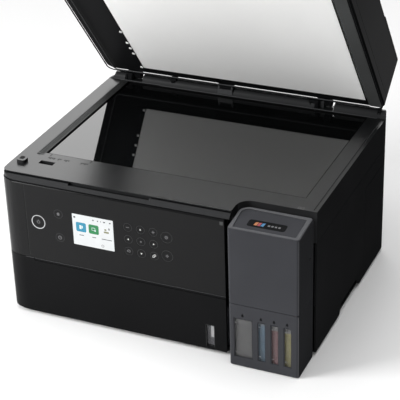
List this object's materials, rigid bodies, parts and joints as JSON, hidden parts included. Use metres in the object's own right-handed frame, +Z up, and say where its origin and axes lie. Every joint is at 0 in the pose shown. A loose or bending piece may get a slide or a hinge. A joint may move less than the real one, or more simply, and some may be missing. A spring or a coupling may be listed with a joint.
{
  "type": "inkjet printer",
  "caption": "Desktop ink-tank inkjet printer with flatbed scanner, sheet-feeder lid, tilting control panel, paper cassette and side ink tank unit.",
  "frame": {"origin": "on the surface the printer stands on, at the middle of the whole printer's box with the lid open as at rest", "axes": "+Z up, -Y the front with the control panel, +X the user's right, where the ink tank unit is"},
  "size_m": [0.375, 0.3504, 0.4481],
  "materials": {
    "black_case": "fine matt texture",
    "deck_grey": "fine satin texture",
    "panel_gloss": "gloss",
    "tank_smoke": "smoked satin gloss",
    "screen": "lit display under clear cover",
    "glass": "polished flat glass",
    "white_mat": "soft matt sheet",
    "inner_grey": "plain moulded",
    "steel": "drawn",
    "rubber": "matt",
    "ink_black": "translucent tank with black ink",
    "ink_cyan": "translucent tank with cyan ink",
    "ink_magenta": "translucent tank with magenta ink",
    "ink_yellow": "translucent tank with yellow ink"
  },
  "bodies": {
    "chassis": {"base_tray": "black_case", "left_side_panel": "black_case", "right_side_panel": "black_case", "maintenance_cover": "black_case", "upper_frame": "black_case", "foot_front_left": "rubber", "foot_front_right": "rubber", "foot_rear_left": "rubber", "foot_rear_right": "rubber", "power_supply": "inner_grey", "power_inlet": "black_case", "platen": "black_case", "carriage_rail": "steel", "carriage_belt": "rubber", "carriage_motor": "steel", "capping_station": "inner_grey", "tank_housing": "tank_smoke", "ink_tank_black": "ink_black", "ink_tank_cyan": "ink_cyan", "ink_tank_magenta": "ink_magenta", "ink_tank_yellow": "ink_yellow"},
    "rear_cover": {"rear_cover": "black_case"},
    "cassette": {"cassette_front": "black_case", "paper_cassette": "inner_grey"},
    "edge_guide_left": {"edge_guide_left": "black_case"},
    "edge_guide_right": {"edge_guide_right": "black_case"},
    "output_tray": {"output_tray": "black_case"},
    "feed_roller": {"feed_roller": "steel"},
    "exit_roller": {"exit_roller": "rubber"},
    "print_carriage": {"print_carriage": "black_case"},
    "motor_pulley": {"motor_pulley": "steel"},
    "tank_hood": {"tank_hood": "tank_smoke"},
    "tank_cap_black": {"tank_cap_black": "ink_black"},
    "tank_cap_cyan": {"tank_cap_cyan": "ink_cyan"},
    "tank_cap_magenta": {"tank_cap_magenta": "ink_magenta"},
    "tank_cap_yellow": {"tank_cap_yellow": "ink_yellow"},
    "scanner_unit": {"scanner_frame": "deck_grey", "scanner_pan": "black_case", "platen_glass": "glass"},
    "scan_carriage": {"scan_carriage": "black_case"},
    "lid": {"lid_base": "black_case", "document_mat": "white_mat", "feeder_housing": "black_case"},
    "feeder_cover": {"feeder_cover": "black_case"},
    "feeder_tray": {"feeder_tray": "black_case"},
    "feeder_roller": {"feeder_roller": "rubber"},
    "control_panel": {"control_panel": "panel_gloss", "display_screen": "screen"},
    "power_button": {"power_button": "panel_gloss"},
    "button_minus": {"button_minus": "panel_gloss"},
    "button_up": {"button_up": "panel_gloss"},
    "button_plus": {"button_plus": "panel_gloss"},
    "button_left": {"button_left": "panel_gloss"},
    "button_ok": {"button_ok": "panel_gloss"},
    "button_right": {"button_right": "panel_gloss"},
    "button_back": {"button_back": "panel_gloss"},
    "button_down": {"button_down": "panel_gloss"},
    "button_copy_type": {"button_copy_type": "panel_gloss"},
    "button_stop": {"button_stop": "panel_gloss"},
    "button_start": {"button_start": "panel_gloss"}
  },
  "joints": [
    {"name": "scanner_lift", "type": "hinge", "parent": "chassis", "child": "scanner_unit", "pos_m": [0, 0.13281, 0.1515], "axis": [-1, 0, 0], "range_deg": [0, 28]},
    {"name": "lid_hinge", "type": "hinge", "parent": "scanner_unit", "child": "lid", "pos_m": [0, 0.13381, 0.1925], "axis": [1, 0, 0], "range_deg": [-10, 52.3]},
    {"name": "feeder_cover_hinge", "type": "hinge", "parent": "lid", "child": "feeder_cover", "pos_m": [-0.1835, 0.08272, 0.33627], "axis": [0, -0.6115, 0.7912], "range_deg": [0, 60]},
    {"name": "feeder_tray_hinge", "type": "hinge", "parent": "lid", "child": "feeder_tray", "pos_m": [-0.0661, 0.09261, 0.34392], "axis": [0, -0.6115, 0.7912], "range_deg": [0, 25]},
    {"name": "feeder_roller_spin", "type": "hinge", "parent": "lid", "child": "feeder_roller", "pos_m": [-0.1175, 0.06468, 0.32233], "axis": [0, -0.6115, 0.7912], "continuous": true},
    {"name": "scan_carriage_travel", "type": "slide", "parent": "scanner_unit", "child": "scan_carriage", "axis": [1, 0, 0], "range_m": [0, 0.3]},
    {"name": "control_panel_tilt", "type": "hinge", "parent": "chassis", "child": "control_panel", "pos_m": [0, -0.15789, 0.1747], "axis": [-1, 0, 0], "range_deg": [0, 45]},
    {"name": "power_button_press", "type": "slide", "parent": "control_panel", "child": "power_button", "axis": [0, 1, 0], "range_m": [0, 0.0008], "stiffness_N_per_m": 400, "springref_m": -0.001},
    {"name": "button_minus_press", "type": "slide", "parent": "control_panel", "child": "button_minus", "axis": [0, 1, 0], "range_m": [0, 0.0008], "stiffness_N_per_m": 400, "springref_m": -0.001},
    {"name": "button_up_press", "type": "slide", "parent": "control_panel", "child": "button_up", "axis": [0, 1, 0], "range_m": [0, 0.0008], "stiffness_N_per_m": 400, "springref_m": -0.001},
    {"name": "button_plus_press", "type": "slide", "parent": "control_panel", "child": "button_plus", "axis": [0, 1, 0], "range_m": [0, 0.0008], "stiffness_N_per_m": 400, "springref_m": -0.001},
    {"name": "button_left_press", "type": "slide", "parent": "control_panel", "child": "button_left", "axis": [0, 1, 0], "range_m": [0, 0.0008], "stiffness_N_per_m": 400, "springref_m": -0.001},
    {"name": "button_ok_press", "type": "slide", "parent": "control_panel", "child": "button_ok", "axis": [0, 1, 0], "range_m": [0, 0.0008], "stiffness_N_per_m": 400, "springref_m": -0.001},
    {"name": "button_right_press", "type": "slide", "parent": "control_panel", "child": "button_right", "axis": [0, 1, 0], "range_m": [0, 0.0008], "stiffness_N_per_m": 400, "springref_m": -0.001},
    {"name": "button_back_press", "type": "slide", "parent": "control_panel", "child": "button_back", "axis": [0, 1, 0], "range_m": [0, 0.0008], "stiffness_N_per_m": 400, "springref_m": -0.001},
    {"name": "button_down_press", "type": "slide", "parent": "control_panel", "child": "button_down", "axis": [0, 1, 0], "range_m": [0, 0.0008], "stiffness_N_per_m": 400, "springref_m": -0.001},
    {"name": "button_copy_type_press", "type": "slide", "parent": "control_panel", "child": "button_copy_type", "axis": [0, 1, 0], "range_m": [0, 0.0008], "stiffness_N_per_m": 400, "springref_m": -0.001},
    {"name": "button_stop_press", "type": "slide", "parent": "control_panel", "child": "button_stop", "axis": [0, 1, 0], "range_m": [0, 0.0008], "stiffness_N_per_m": 400, "springref_m": -0.001},
    {"name": "button_start_press", "type": "slide", "parent": "control_panel", "child": "button_start", "axis": [0, 1, 0], "range_m": [0, 0.0008], "stiffness_N_per_m": 400, "springref_m": -0.001},
    {"name": "cassette_slide", "type": "slide", "parent": "chassis", "child": "cassette", "axis": [0, -1, 0], "range_m": [0, 0.24]},
    {"name": "edge_guide_left_slide", "type": "slide", "parent": "cassette", "child": "edge_guide_left", "axis": [1, 0, 0], "range_m": [0, 0.05]},
    {"name": "edge_guide_right_slide", "type": "slide", "parent": "cassette", "child": "edge_guide_right", "axis": [-1, 0, 0], "range_m": [0, 0.05]},
    {"name": "output_tray_slide", "type": "slide", "parent": "chassis", "child": "output_tray", "axis": [0, -1, 0], "range_m": [0, 0.11]},
    {"name": "print_carriage_travel", "type": "slide", "parent": "chassis", "child": "print_carriage", "axis": [1, 0, 0], "range_m": [-0.25, 0]},
    {"name": "motor_pulley_spin", "type": "hinge", "parent": "chassis", "child": "motor_pulley", "pos_m": [-0.1605, 0.00881, 0.112], "axis": [0, 1, 0], "continuous": true},
    {"name": "feed_roller_spin", "type": "hinge", "parent": "chassis", "child": "feed_roller", "pos_m": [0, -0.00119, 0.086], "axis": [1, 0, 0], "continuous": true},
    {"name": "exit_roller_spin", "type": "hinge", "parent": "chassis", "child": "exit_roller", "pos_m": [0, -0.06719, 0.086], "axis": [1, 0, 0], "continuous": true},
    {"name": "tank_hood_hinge", "type": "hinge", "parent": "chassis", "child": "tank_hood", "pos_m": [0, -0.13239, 0.1763], "axis": [-1, 0, 0], "range_deg": [0, 55]},
    {"name": "tank_cap_black_lift", "type": "slide", "parent": "chassis", "child": "tank_cap_black", "axis": [0, 0, 1], "range_m": [0, 0.009]},
    {"name": "tank_cap_cyan_lift", "type": "slide", "parent": "chassis", "child": "tank_cap_cyan", "axis": [0, 0, 1], "range_m": [0, 0.009]},
    {"name": "tank_cap_magenta_lift", "type": "slide", "parent": "chassis", "child": "tank_cap_magenta", "axis": [0, 0, 1], "range_m": [0, 0.009]},
    {"name": "tank_cap_yellow_lift", "type": "slide", "parent": "chassis", "child": "tank_cap_yellow", "axis": [0, 0, 1], "range_m": [0, 0.009]},
    {"name": "rear_cover_pull", "type": "slide", "parent": "chassis", "child": "rear_cover", "axis": [0, 1, 0], "range_m": [0, 0.03]}
  ],
  "couplings": [
    {"joint": "edge_guide_right_slide", "follows": "edge_guide_left_slide", "ratio": 1},
    {"joint": "exit_roller_spin", "follows": "feed_roller_spin", "ratio": 1},
    {"joint": "motor_pulley_spin", "follows": "print_carriage_travel", "rad_per_m": -128.2}
  ]
}
